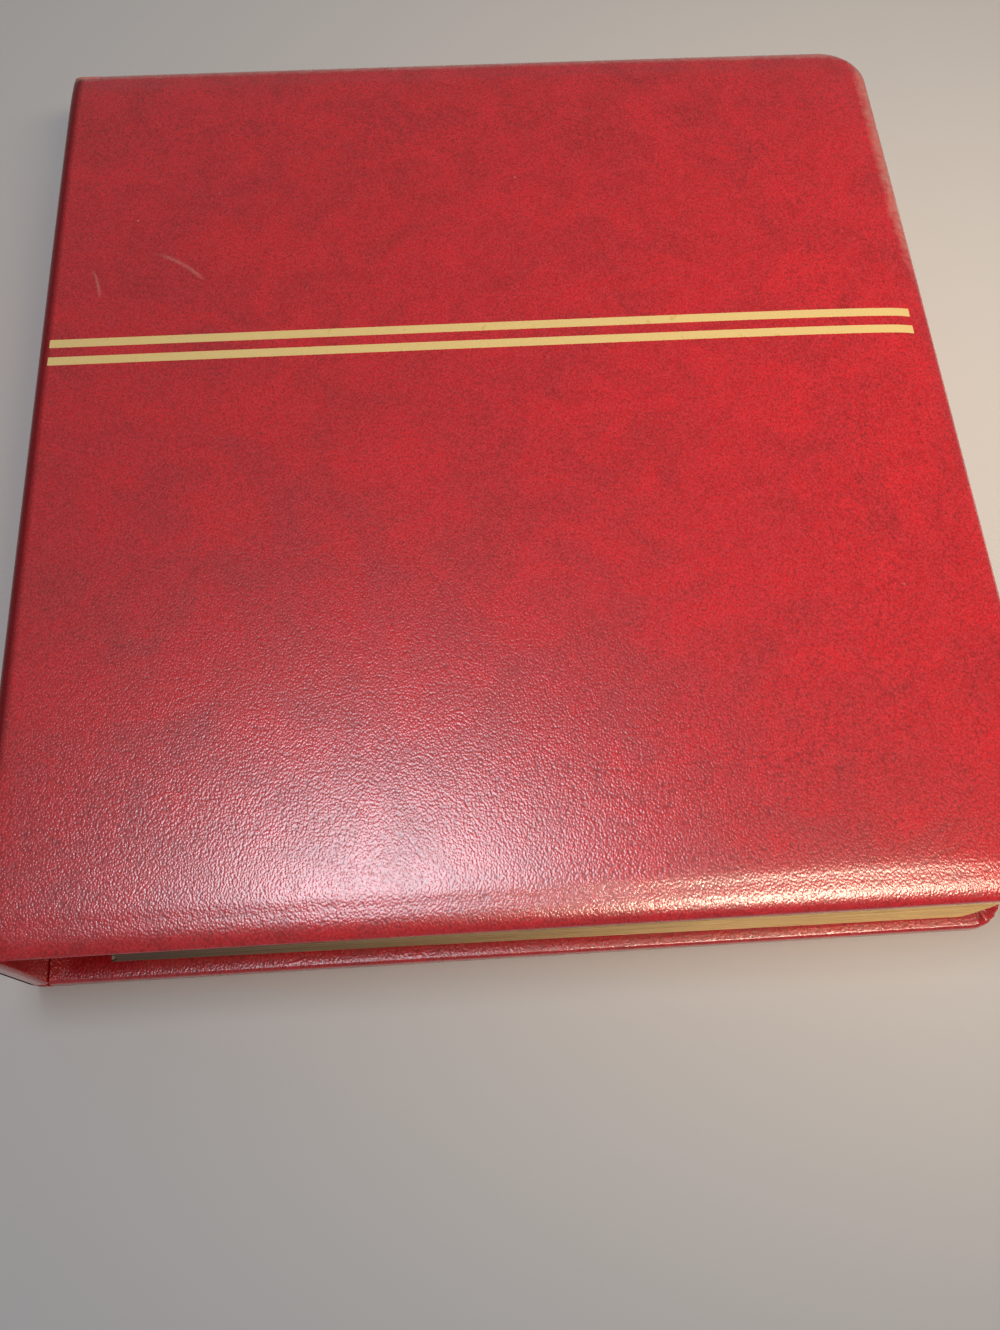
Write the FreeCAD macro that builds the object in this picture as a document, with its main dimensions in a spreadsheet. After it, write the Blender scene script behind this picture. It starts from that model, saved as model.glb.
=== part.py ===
import FreeCAD, Part
import math
import os
import re
import Sketcher

# Stamp album: a padded ring binder lying on its back cover, spine at -X, tail at -Y.
# All sizes are millimetres. Lengths along X are measured from the outer face of the spine.

DRIVING = (
    ("leaf_width", 235.5, "binding edge to fore edge of a leaf"),
    ("leaf_height", 286, "head to tail of a leaf"),
    ("leaf_thickness", 0.6, "card of a leaf"),
    ("leaf_gap", 0.06, "air between leaves at the binding edge"),
    ("leaf_corner", 7, "rounded fore-edge corner of a leaf"),
    ("leaf_clear", 0.5, "room between the outermost leaves and the linings"),
    ("hole_margin", 10.5, "binding edge to hole centre"),
    ("hole_diameter", 8, "punched hole"),
    ("hole_pitch", 108, "ring to ring"),
    ("hole_shift", 1.5, "a leaf hangs this far out on its rings"),
    ("mount_width", 150, "stamp mount along X"),
    ("mount_height", 190, "stamp mount along Y"),
    ("mount_thickness", 0.12, "film and sheet of a mount"),
    ("mount_margin", 60, "binding edge to mount"),
    ("tail_square", 3, "cover beyond the leaves at head and tail"),
    ("fore_square", 4, "cover beyond the leaves at the fore edge"),
    ("board_thickness", 2, "grey board of the front cover"),
    ("spine_board_thickness", 2.5, "grey board of the spine"),
    ("back_board_thickness", 2.8, "grey board of the back cover"),
    ("skin_thickness", 0.8, "leatherette with its backing"),
    ("foam_height", 3, "foam pad under the front leatherette"),
    ("turn_in_width", 16, "leatherette folded to the inside"),
    ("liner_lip", 0.4, "lining where it laps the turn-in"),
    ("liner_inset", 8, "cover edge to lining edge"),
    ("liner_side", 0.6, "board edge to lining edge at the crease"),
    ("cover_corner", 14, "rounded fore-edge corner of a cover"),
    ("crown_width", 30, "how far the foam falls away to the edge"),
    ("crown_drop", 4.2, "how deep the foam falls away"),
    ("under_round", 1, "roundness of the lower cover edges"),
    ("crease_radius", 3, "fold of the leatherette at a crease"),
    ("crease_clear", 0.3, "cover edge to the fold"),
    ("crease_gap", 3.5, "crease axis to board edge"),
    ("ring_radius", 12.5, "centre line of a ring"),
    ("ring_wire", 3, "wire of a ring"),
    ("ring_clear", 3.2, "closed ring to front lining, where it swings open"),
    ("ring_arc", 120, "round part of a half ring, in degrees"),
    ("ring_tip_gap", 0.1, "between the two tips of a closed ring"),
    ("ring_slot_room", 0.5, "room beside the wire in the plate"),
    ("plate_half_width", 12, "ring plate, half across"),
    ("plate_height", 8.5, "top of the ring plate"),
    ("plate_wall", 4, "upright wall of the ring plate"),
    ("plate_gauge", 0.8, "sheet of the ring plate"),
    ("plate_foot", 3, "foot of the ring plate turned inward"),
    ("plate_overhang", 19, "outermost ring to the end of the plate"),
    ("lever_bay", 11, "cut-away end of the plate for a lever"),
    ("blade_gauge", 1, "spring blade"),
    ("blade_level", 3.2, "blade pivot above the lining"),
    ("blade_side", 1.7, "plate side to blade pivot"),
    ("blade_slit", 0.5, "between the two blades"),
    ("blade_tilt", 4.5, "blade angle with the rings closed, in degrees"),
    ("rivet_shank", 4, "rivet through plate and spine"),
    ("rivet_head", 7.5, "rivet head"),
    ("rivet_head_height", 1.2, "rivet head"),
    ("rivet_flange", 0.9, "rivet flange sunk in the spine board"),
    ("rivet_room", 1.4, "blade notch beside a rivet"),
    ("pin_diameter", 2, "lever pin"),
    ("pin_level", 2.3, "lever pin above the lining"),
    ("pin_running", 0.05, "clearance of a lever on its pin"),
    ("pin_setback", 5, "end of the plate to the lever pin"),
    ("lever_width", 15, "press lever"),
    ("lever_gauge", 1, "press lever sheet"),
    ("lever_barrel", 1.7, "curl of the lever around its pin, outer radius"),
    ("tongue_width", 6, "tongue under the blades"),
    ("tongue_reach", 10, "pin to the end of the tongue"),
    ("tongue_drop", 1.1, "tongue top below the pin"),
    ("tab_reach", 18, "pin to the end of the thumb tab"),
    ("tab_slope", 16, "slope of the thumb tab, in degrees"),
    ("rule_width", 2.4, "gold foil rule"),
    ("rule_pitch", 6.3, "rule to rule"),
    ("rule_offset", 28.2, "middle of the two rules, above mid height"),
    ("rule_start", 6, "spine face to the start of a rule"),
    ("rule_end", 6.5, "end of a rule to the fore edge"),
    ("foil_thickness", 0.08, "gold foil"),
)

# Number of leaves on each side of the ring centre.
LEAVES_EACH = 12
RINGS = (-1, 0, 1)

DERIVED = (
    ("front_thickness", "2*skin_thickness + foam_height + board_thickness + liner_lip"),
    ("back_thickness", "2*skin_thickness + back_board_thickness + liner_lip"),
    ("spine_thickness", "2*skin_thickness + spine_board_thickness + liner_lip"),
    ("album_thickness", "2*(ring_radius + ring_wire/2 + ring_clear + front_thickness)"),
    ("ring_level", "album_thickness/2"),
    ("cover_height", "leaf_height + 2*tail_square"),
    ("cover_half", "cover_height/2"),
    ("leaf_reach", "ring_radius + hole_shift - hole_margin"),
    ("cover_width", "ring_level + leaf_reach + leaf_width + fore_square"),
    ("spine_face", "-cover_width/2"),
    ("leaf_half", "leaf_height/2"),
    ("leaf_binding_edge", "0"),
    ("board_left", "crease_radius + crease_gap"),
    ("board_right", "cover_width - skin_thickness"),
    ("board_half", "cover_half - skin_thickness"),
    ("board_corner", "cover_corner - skin_thickness"),
    ("liner_left", "board_left + liner_side"),
    ("window_right", "cover_width - turn_in_width"),
    ("window_half", "cover_half - turn_in_width"),
    ("window_corner", "cover_corner/4"),
    ("lip_right", "cover_width - liner_inset"),
    ("lip_half", "cover_half - liner_inset"),
    ("lip_corner", "cover_corner/2"),
    ("back_board_level", "skin_thickness"),
    ("back_liner_level", "skin_thickness + back_board_thickness"),
    ("back_lip_level", "back_liner_level + skin_thickness"),
    ("front_lip_level", "album_thickness - front_thickness"),
    ("front_flange_level", "front_lip_level + liner_lip"),
    ("front_board_level", "front_flange_level + skin_thickness"),
    ("front_foam_level", "front_board_level + board_thickness"),
    ("front_sheet_level", "front_foam_level + foam_height"),
    ("base_level", "0"),
    ("crease_top", "album_thickness - crease_radius"),
    ("fold_inner", "crease_radius - skin_thickness"),
    ("fold_top", "album_thickness - skin_thickness"),
    ("plate_half", "hole_pitch + plate_overhang"),
    ("plate_base", "spine_thickness"),
    ("plate_foot_top", "plate_base + plate_gauge"),
    ("plate_shoulder", "plate_base + plate_wall"),
    ("plate_low", "ring_level - plate_half_width"),
    ("plate_high", "ring_level + plate_half_width"),
    ("plate_low_inside", "plate_low + plate_gauge"),
    ("plate_high_inside", "plate_high - plate_gauge"),
    ("plate_low_foot", "plate_low + plate_foot"),
    ("plate_high_foot", "plate_high - plate_foot"),
    ("crown_rise", "plate_height - plate_wall"),
    ("plate_crown", "(plate_half_width^2 + crown_rise^2)/(2*crown_rise)"),
    ("inside_half", "plate_half_width - plate_gauge"),
    ("inside_rise", "crown_rise - plate_gauge"),
    ("inside_crown", "(inside_half^2 + inside_rise^2)/(2*inside_rise)"),
    ("blade_round", "blade_gauge/2"),
    ("blade_back", "-blade_gauge/2"),
    ("blade_reach", "plate_half_width - blade_side - blade_slit/2"),
    ("blade_inner", "-blade_reach"),
    ("pivot_zero", "0"),
    ("blade_length", "2*(plate_half - lever_bay)"),
    ("blade_pivot_x", "spine_thickness + blade_level"),
    ("blade_pivot_offset", "plate_half_width - blade_side"),
    ("leg_end_x", "ring_level + ring_radius*cos(ring_arc)"),
    ("leg_end_offset", "ring_radius*sin(ring_arc) + ring_tip_gap/2"),
    ("leg_length", "(leg_end_x - blade_pivot_x + blade_gauge)/sin(ring_arc)"),
    ("foot_offset", "leg_end_offset + (leg_end_x - blade_pivot_x)*cos(ring_arc)/sin(ring_arc)"),
    ("slot_inner", "foot_offset - ring_slot_room"),
    ("slot_outer", "leg_end_offset - ring_slot_room"),
    ("slot_width", "ring_wire + 2*ring_slot_room"),
    ("rivet_place", "hole_pitch/2"),
    ("pin_place", "plate_half - pin_setback"),
    ("pin_x", "spine_thickness + pin_level"),
    ("front_fan", "(ring_level - front_thickness - leaf_clear - leaf_thickness/2)/(%g)" % (LEAVES_EACH - 0.5)),
    ("back_fan", "(ring_level - back_thickness - leaf_clear - leaf_thickness/2)/(%g)" % (LEAVES_EACH - 0.5)),
    ("binding_fan", "leaf_thickness + leaf_gap"),
    ("rule_length", "cover_width - rule_start - rule_end"),
)

# The crown of the padded cover, from its edge to its flat top: each step in from the edge, as a share of the
# crown width, has a share of the drop left to rise.
CROWN_STEPS = 8
CROWN_SPREAD = 2.2
CROWN_LIFT = 0.42
CROWN_FALL = 1.6
CROWN_SHARES = [(step / CROWN_STEPS) ** CROWN_SPREAD for step in range(CROWN_STEPS + 1)]
CROWN = [(share, (1 - share ** CROWN_LIFT) ** CROWN_FALL) for share in CROWN_SHARES]
CROWN_CORNER_SHRINK = 0.3

doc = FreeCAD.newDocument("StampAlbum")
sheet = doc.addObject("Spreadsheet::Sheet", "Sizes")
rows = 0


def cell(alias, content, note=""):
    """Put one named size in the sheet."""
    global rows
    rows += 1
    sheet.set("A%d" % rows, alias)
    sheet.set("B%d" % rows, content)
    sheet.set("C%d" % rows, note)
    sheet.setAlias("B%d" % rows, alias)


def value(alias):
    """The number a named size has now."""
    number = sheet.get(alias)
    return number.Value if hasattr(number, "Value") else float(number)


def bind(thing, prop, formula):
    """Tie a property to a formula of named sizes; every size name holds an underscore."""
    thing.setExpression(prop, re.sub(r"\b([a-z]+(?:_[a-z0-9]+)+)\b", r"Sizes.\1", formula))


ALONG_X = "rotation(vector(0;1;0); 90)"
ALONG_Y = "rotation(vector(1;0;0); -90)"
UPRIGHT = "rotation(vector(0;0;1); 0)"


def put(thing, along, across, up, turn=UPRIGHT):
    """Place an object; along is measured from the outer face of the spine."""
    spot = "vector(spine_face + (%s); %s; %s)" % (along, across, up)
    bind(thing, "Placement", "placement(%s; %s)" % (spot, turn))
    return thing


def plane(body, role):
    for feature in body.Origin.OriginFeatures:
        if feature.Role == role:
            return feature


def new_body(name):
    body = doc.addObject("PartDesign::Body", name)
    put(body, "0", "0", "0")
    return body


def new_sketch(body, name, role, level=None):
    sketch = body.newObject("Sketcher::SketchObject", name)
    sketch.AttachmentSupport = [(plane(body, role), "")]
    sketch.MapMode = "FlatFace"
    if level:
        bind(sketch, "AttachmentOffset.Base.z", level)
    return sketch


def measure(sketch, kind, places, alias, sign=1):
    """Add one dimension to a sketch and tie it to a named size."""
    index = sketch.addConstraint(Sketcher.Constraint(kind, *places, sign * value(alias)))
    bind(sketch, "Constraints[%d]" % index, "%s(%s)" % ("-" if sign < 0 else "", alias))


def outline(body, name, left, right, half, corner, level=None, holes=()):
    """A plate outline, square at the spine side and rounded at the fore edge, with optional round holes."""
    sketch = new_sketch(body, name, "XY_Plane", level)
    x_low, x_high, y_high, radius = value(left), value(right), value(half), value(corner)
    up = FreeCAD.Vector(0, 0, 1)
    low_centre = FreeCAD.Vector(x_high - radius, radius - y_high, 0)
    high_centre = FreeCAD.Vector(x_high - radius, y_high - radius, 0)
    quarter = math.pi / 2
    point = FreeCAD.Vector
    sketch.addGeometry([
        Part.LineSegment(point(x_low, -y_high, 0), point(x_high - radius, -y_high, 0)),
        Part.ArcOfCircle(Part.Circle(low_centre, up, radius), -quarter, 0),
        Part.LineSegment(point(x_high, radius - y_high, 0), point(x_high, y_high - radius, 0)),
        Part.ArcOfCircle(Part.Circle(high_centre, up, radius), 0, quarter),
        Part.LineSegment(point(x_high - radius, y_high, 0), point(x_low, y_high, 0)),
        Part.LineSegment(point(x_low, y_high, 0), point(x_low, -y_high, 0)),
    ], False)
    for first, second in ((0, 1), (1, 2), (2, 3), (3, 4)):
        sketch.addConstraint(Sketcher.Constraint("Tangent", first, 2, second, 1))
    for first, second in ((4, 5), (5, 0)):
        sketch.addConstraint(Sketcher.Constraint("Coincident", first, 2, second, 1))
    for line, direction in ((0, "Horizontal"), (2, "Vertical"), (4, "Horizontal"), (5, "Vertical")):
        sketch.addConstraint(Sketcher.Constraint(direction, line))
    sketch.addConstraint(Sketcher.Constraint("Equal", 1, 3))
    measure(sketch, "Radius", (1,), corner)
    measure(sketch, "DistanceX", (-1, 1, 0, 1), left)
    measure(sketch, "DistanceX", (-1, 1, 2, 1), right)
    measure(sketch, "DistanceY", (-1, 1, 0, 1), half, -1)
    measure(sketch, "DistanceY", (-1, 1, 4, 2), half)
    for along, across, step, diameter in holes:
        centre = point(value(along), step * value(across), 0)
        hole = sketch.addGeometry(Part.Circle(centre, up, value(diameter) / 2), False)
        measure(sketch, "DistanceX", (-1, 1, hole, 3), along)
        if step:
            measure(sketch, "DistanceY", (-1, 1, hole, 3), across, step)
        else:
            sketch.addConstraint(Sketcher.Constraint("PointOnObject", hole, 3, -1))
        measure(sketch, "Diameter", (hole,), diameter)
    return sketch


def section(body, name, path):
    """A closed section in the XZ plane: corners as (x, z) sizes; an arc to the next corner adds its radius,
    and 1 where it bulges to the left of the way round or -1 to the right."""
    sketch = new_sketch(body, name, "XZ_Plane")
    spots = [FreeCAD.Vector(value(step[0]), value(step[1]), 0) for step in path]
    count = len(path)
    for index, step in enumerate(path):
        start, end = spots[index], spots[(index + 1) % count]
        if len(step) == 2:
            sketch.addGeometry(Part.LineSegment(start, end), False)
            continue
        radius, bulge = value(step[2]), step[3]
        chord = end - start
        across = FreeCAD.Vector(-chord.y, chord.x, 0).normalize() * bulge
        centre = start + chord * 0.5 - across * math.sqrt(radius ** 2 - (chord.Length / 2) ** 2)
        ends = [math.atan2(spot.y - centre.y, spot.x - centre.x) for spot in (start, end)[::-bulge]]
        circle = Part.Circle(centre, FreeCAD.Vector(0, 0, 1), radius)
        sketch.addGeometry(Part.ArcOfCircle(circle, ends[0], ends[1]), False)
    for index, step in enumerate(path):
        after = (index + 1) % count
        last = 1 if step[3:] == (1,) else 2
        first = 2 if path[after][3:] == (1,) else 1
        sketch.addConstraint(Sketcher.Constraint("Coincident", index, last, after, first))
        measure(sketch, "DistanceX", (-1, 1, after, first), path[after][0])
        measure(sketch, "DistanceY", (-1, 1, after, first), path[after][1])
        if len(step) == 4:
            measure(sketch, "Radius", (index,), step[2])
    return sketch


def pad(body, name, sketch, length, both_ways=False):
    feature = body.newObject("PartDesign::Pad", name)
    feature.Profile = sketch
    if both_ways:
        feature.SideType = "Symmetric"
    bind(feature, "Length", length)
    sketch.Visibility = False
    return feature


def block(name, size):
    solid = doc.addObject("Part::Box", name)
    for prop, formula in zip(("Length", "Width", "Height"), size):
        bind(solid, prop, formula)
    return solid


def box(name, size, along, across, up):
    return put(block(name, size), along, across, up)


def rod(name, radius, length, along, across, up, turn):
    solid = doc.addObject("Part::Cylinder", name)
    bind(solid, "Radius", radius)
    bind(solid, "Height", length)
    return put(solid, along, across, up, turn)


def join(name, pieces):
    fusion = doc.addObject("Part::MultiFuse", name)
    fusion.Shapes = pieces
    return fusion


def cut(name, base, tools):
    result = doc.addObject("Part::Cut", name)
    result.Base = base
    result.Tool = tools[0] if len(tools) == 1 else join(name + "_tools", tools)
    return result


def group(name, pieces):
    several = doc.addObject("Part::Compound", name)
    several.Links = pieces
    return several


nodes = {}


def keep(label, thing):
    """Name a finished sub-part."""
    thing.Label = label
    nodes[label] = thing
    return thing


for alias, number, note in DRIVING:
    cell(alias, str(number), note)
for alias, formula in DERIVED:
    cell(alias, "=" + formula)
for index, (share, fall) in enumerate(CROWN):
    cell("form_inset_%d" % index, "=crown_width*%g" % share)
    cell("form_right_%d" % index, "=cover_width - form_inset_%d" % index)
    cell("form_half_%d" % index, "=cover_half - form_inset_%d" % index)
    cell("form_corner_%d" % index, "=cover_corner - %g*form_inset_%d" % (CROWN_CORNER_SHRINK, index))
    cell("form_level_%d" % index, "=album_thickness - crown_drop*%g" % fall)
    cell("foam_right_%d" % index, "=form_right_%d - skin_thickness*%g" % (index, fall))
    cell("foam_half_%d" % index, "=form_half_%d - skin_thickness*%g" % (index, fall))
    cell("foam_corner_%d" % index, "=form_corner_%d - skin_thickness*%g" % (index, fall))
    cell("foam_level_%d" % index, "=front_foam_level + foam_height*%g" % (1 - fall))
cell("under_right", "=cover_width - under_round")
cell("under_half", "=cover_half - under_round")
cell("under_corner", "=cover_corner - under_round")
doc.recompute()


def cover_board(label, level, thickness):
    body = new_body(label)
    sketch = outline(body, label + "_outline", "board_left", "board_right", "board_half", "board_corner", level)
    pad(body, label + "_pad", sketch, thickness)
    return keep(label, body)


def cover_liner(label, level, lip_level):
    """Lining card: its middle fills the turn-in's window and its lip laps the turn-in."""
    body = new_body(label)
    window = outline(body, label + "_window", "liner_left", "window_right", "window_half", "window_corner", level)
    pad(body, label + "_middle", window, "skin_thickness")
    lip = outline(body, label + "_edge", "liner_left", "lip_right", "lip_half", "lip_corner", lip_level)
    pad(body, label + "_lip", lip, "liner_lip")
    return keep(label, body)


def crease_room(name, axis_level, gap_level):
    """Space left free around a crease: the fold itself, and the unboarded strip beside it."""
    around = rod(name + "_round", "crease_radius + crease_clear", "cover_height", "crease_radius",
                 "-cover_half", axis_level, ALONG_Y)
    strip = box(name + "_strip", ("board_left", "cover_height", "front_thickness"), "0", "-cover_half", gap_level)
    return [around, strip]


# Back cover: board, leatherette turned in over its edges, lining card.
back_board = cover_board("back_board", "back_board_level", "back_board_thickness")
back_liner = cover_liner("back_liner", "back_liner_level", "back_lip_level")
back_form = new_body("back_form")
form_outline = outline(back_form, "back_form_outline", "crease_radius", "cover_width", "cover_half", "cover_corner")
form_pad = pad(back_form, "back_form_pad", form_outline, "back_lip_level")
doc.recompute()
NEARLY = 1e-6
round_edges = []
for number, edge in enumerate(form_pad.Shape.Edges):
    level_edge = edge.BoundBox.ZLength < NEARLY
    at_crease = edge.BoundBox.XMax < value("crease_radius") + NEARLY
    if level_edge and not at_crease:
        round_edges.append("Edge%d" % (number + 1))
form_round = back_form.newObject("PartDesign::Fillet", "back_form_round")
form_round.Base = (form_pad, round_edges)
bind(form_round, "Radius", "under_round")
back_room = crease_room("back_crease", "crease_radius", "back_board_level")
keep("back_skin", cut("back_skin", back_form, [back_board, back_liner] + back_room))

# Front cover: board, foam pad with a crown, leatherette over both, lining card.
front_board = cover_board("front_board", "front_board_level", "board_thickness")
front_liner = cover_liner("front_liner", "front_board_level - skin_thickness", "front_lip_level")


def crowned(name, left, first, prefix):
    """A loft through the crown's outlines, starting with the outlines given in first."""
    body = new_body(name)
    stack = list(first)
    for step in range(len(CROWN)):
        stack.append(tuple("%s_%s_%d" % (prefix, part, step) for part in ("right", "half", "corner", "level")))
    sketches = []
    for step, (right, half, corner, level) in enumerate(stack):
        sketches.append(outline(body, "%s_%d" % (name, step), left, right, half, corner, level))
    loft = body.newObject("PartDesign::AdditiveLoft", name + "_loft")
    loft.Profile = sketches[0]
    loft.Sections = sketches[1:]
    loft.Ruled = True
    return body


front_foam = keep("front_foam", crowned("front_foam", "board_left", (), "foam"))
front_form = crowned("front_form", "crease_radius",
                     (("under_right", "under_half", "under_corner", "front_flange_level"),
                      ("cover_width", "cover_half", "cover_corner", "front_board_level")), "form")
front_room = crease_room("front_crease", "crease_top", "front_sheet_level - front_thickness")
keep("front_skin", cut("front_skin", front_form, [front_board, front_foam, front_liner] + front_room))

# Gold foil rules laid over the crown.
rule_bars = []
for side in (-0.5, 0.5):
    bar = box("rule_bar", ("rule_length", "rule_width", "front_thickness"), "rule_start",
              "rule_offset + (%g)*rule_pitch - rule_width/2" % side, "front_foam_level")
    rule_bars.append(bar)
raised_form = group("raised_form", [front_form])
bind(raised_form, "Placement", "placement(vector(0;0;foil_thickness); %s)" % UPRIGHT)
foil_layer = doc.addObject("Part::Common", "foil_layer")
foil_layer.Base = raised_form
foil_layer.Tool = join("rule_bars", rule_bars)
keep("foil_rules", cut("foil_rules", foil_layer, [front_form]))

# Spine: leatherette folded at both creases, board, lining card.
spine_body = new_body("spine_sheet")
spine_section = section(spine_body, "spine_section", (
    ("crease_radius", "base_level", "crease_radius", -1),
    ("base_level", "crease_radius"),
    ("base_level", "crease_top", "crease_radius", -1),
    ("crease_radius", "album_thickness"),
    ("crease_radius", "fold_top", "fold_inner", 1),
    ("skin_thickness", "crease_top"),
    ("skin_thickness", "crease_radius", "fold_inner", 1),
    ("crease_radius", "skin_thickness"),
))
pad(spine_body, "spine_pad", spine_section, "cover_height", True)
SPINE_SPAN = "album_thickness - 2*crease_radius - 2*crease_clear"
SPINE_LOW = "crease_radius + crease_clear"
turn_ins = [spine_body]
for cap, flange in (("-cover_half", "-cover_half"),
                    ("cover_half - skin_thickness", "cover_half - turn_in_width")):
    turn_ins.append(box("spine_cap", ("spine_board_thickness", "skin_thickness", SPINE_SPAN),
                        "skin_thickness", cap, SPINE_LOW))
    turn_ins.append(box("spine_turn_in", ("skin_thickness", "turn_in_width", SPINE_SPAN),
                        "skin_thickness + spine_board_thickness", flange, SPINE_LOW))
keep("spine_skin", join("spine_skin", turn_ins))

# Rivets: a sunk flange in the spine board, a shank, and a head on the ring plate.
rivets = []
for side in RINGS[::2]:
    place = "(%d)*rivet_place" % side
    rivets.append(join("rivet", [
        rod("rivet_flange", "rivet_head/2", "rivet_flange", "skin_thickness", place, "ring_level", ALONG_X),
        rod("rivet_shank", "rivet_shank/2", "spine_thickness + plate_height - skin_thickness",
            "skin_thickness", place, "ring_level", ALONG_X),
        rod("rivet_head", "rivet_head/2", "rivet_head_height", "spine_thickness + plate_height - plate_gauge/2",
            place, "ring_level", ALONG_X),
    ]))
plate_rivets = keep("plate_rivets", group("plate_rivets", rivets))

spine_blank = box("spine_blank", ("spine_board_thickness", "2*board_half", SPINE_SPAN), "skin_thickness",
                  "-board_half", SPINE_LOW)
keep("spine_board", cut("spine_board", spine_blank, [plate_rivets]))
LINER_SPAN = "album_thickness - 2*board_left"
liner_middle = box("spine_liner_middle", ("skin_thickness", "2*window_half", LINER_SPAN),
                   "skin_thickness + spine_board_thickness", "-window_half", "board_left")
liner_lip = box("spine_liner_lip", ("liner_lip", "2*lip_half", LINER_SPAN),
                "spine_thickness - liner_lip", "-lip_half", "board_left")
keep("spine_liner", cut("spine_liner", join("spine_liner_card", [liner_middle, liner_lip]), [plate_rivets]))

# Ring plate: arched steel with turned-in feet, slots for the rings and bays for the levers.
plate_body = new_body("plate_arch")
plate_section = section(plate_body, "plate_section", (
    ("plate_base", "plate_low_foot"),
    ("plate_base", "plate_low"),
    ("plate_shoulder", "plate_low", "plate_crown", -1),
    ("plate_shoulder", "plate_high"),
    ("plate_base", "plate_high"),
    ("plate_base", "plate_high_foot"),
    ("plate_foot_top", "plate_high_foot"),
    ("plate_foot_top", "plate_high_inside"),
    ("plate_shoulder", "plate_high_inside", "inside_crown", 1),
    ("plate_shoulder", "plate_low_inside"),
    ("plate_foot_top", "plate_low_inside"),
    ("plate_foot_top", "plate_low_foot"),
))
pad(plate_body, "plate_pad", plate_section, "2*plate_half", True)
plate_cuts = [plate_rivets]
SLOT_SPAN = "slot_outer - slot_inner"
for step in RINGS:
    across = "(%d)*hole_pitch - slot_width/2" % step
    for up in ("ring_level + slot_inner", "ring_level - slot_outer"):
        plate_cuts.append(box("ring_slot", ("plate_height", "slot_width", SLOT_SPAN), "plate_shoulder", across, up))
for across in ("-plate_half", "plate_half - lever_bay"):
    plate_cuts.append(box("lever_opening", ("plate_height", "lever_bay", "2*plate_half_width"),
                          "plate_shoulder", across, "plate_low"))
pins = []
for side in RINGS[::2]:
    pins.append(rod("lever_pin", "pin_diameter/2", "2*plate_half_width", "pin_x",
                    "(%d)*pin_place" % side, "plate_low", UPRIGHT))
lever_pins = keep("lever_pins", group("lever_pins", pins))
plate_cuts.append(lever_pins)
keep("ring_plate", cut("ring_plate", plate_body, plate_cuts))


def half_rings(label, side):
    """Three half rings: a round arc that ends in a straight leg to its blade."""
    rings = []
    for step in RINGS:
        across = "(%d)*hole_pitch" % step
        bow = doc.addObject("Part::Torus", "ring_bow")
        bind(bow, "Radius1", "ring_radius")
        bind(bow, "Radius2", "ring_wire/2")
        bind(bow, "Angle3", "ring_arc")
        put(bow, "ring_level", across, "ring_level + (%d)*ring_tip_gap/2" % side,
            "rotation(vector(1;0;0); %d)" % (90 * side))
        lean = "-ring_arc" if side > 0 else "ring_arc - 180"
        leg = rod("ring_leg", "ring_wire/2", "leg_length", "leg_end_x", across,
                  "ring_level + (%d)*leg_end_offset" % side, "rotation(vector(0;1;0); %s)" % lean)
        rings.append(join("ring", [bow, leg]))
    return keep(label, group(label, rings))


def blade(label, side, rings):
    """Spring blade: rounded at its pivot edge, notched at the rivets, holed for the ring feet."""
    body = new_body(label + "_blank")
    profile = section(body, label + "_section", (
        ("blade_back", "pivot_zero"),
        ("blade_round", "pivot_zero"),
        ("blade_round", "blade_inner"),
        ("blade_back", "blade_inner"),
    ))
    pad(body, label + "_pad", profile, "blade_length", True)
    flip = "" if side > 0 else " * rotation(vector(1;0;0); 180)"
    pivot = "ring_level + (%d)*blade_pivot_offset" % side
    put(body, "blade_pivot_x", "0", pivot, "rotation(vector(0;1;0); (%d)*blade_tilt)%s" % (side, flip))
    nose = rod(label + "_nose", "blade_round", "blade_length", "blade_pivot_x", "-blade_length/2", pivot, ALONG_Y)
    tools = [rings]
    for step in RINGS[::2]:
        tools.append(rod("rivet_notch", "rivet_shank/2 + rivet_room", "plate_height", "spine_thickness",
                         "(%d)*rivet_place" % step, "ring_level", ALONG_X))
    return keep(label, cut(label, join(label + "_strip", [body, nose]), tools))


upper_rings = half_rings("upper_rings", 1)
lower_rings = half_rings("lower_rings", -1)
blade("upper_blade", 1, upper_rings)
blade("lower_blade", -1, lower_rings)


def press_lever(label, side):
    """See-saw lever: a tongue under the blades, a curl around its pin, a thumb tab."""
    centre = "(%d)*pin_place" % side
    barrel = rod("lever_barrel", "lever_barrel", "lever_width", "pin_x", centre, "ring_level - lever_width/2", UPRIGHT)
    inward = centre if side < 0 else centre + " - tongue_reach"
    tongue = box("lever_tongue", ("lever_gauge", "tongue_reach", "tongue_width"),
                 "pin_x - tongue_drop - lever_gauge", inward, "ring_level - tongue_width/2")
    tab = block("lever_tab", ("lever_gauge", "tab_reach", "lever_width"))
    spot = "placement(vector(spine_face + pin_x; %s; ring_level - lever_width/2); " % centre
    swing = "rotation(vector(0;0;1); %s))" % ("180 + tab_slope" if side < 0 else "-tab_slope")
    bind(tab, "Placement", spot + swing + " * placement(vector(-lever_gauge/2; 0; 0); %s)" % UPRIGHT)
    bore = rod("lever_bore", "pin_diameter/2 + pin_running", "lever_width", "pin_x", centre,
               "ring_level - lever_width/2", UPRIGHT)
    return keep(label, cut(label, join(label + "_blank", [barrel, tongue, tab]), [bore]))


press_lever("tail_lever", -1)
press_lever("head_lever", 1)


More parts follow.
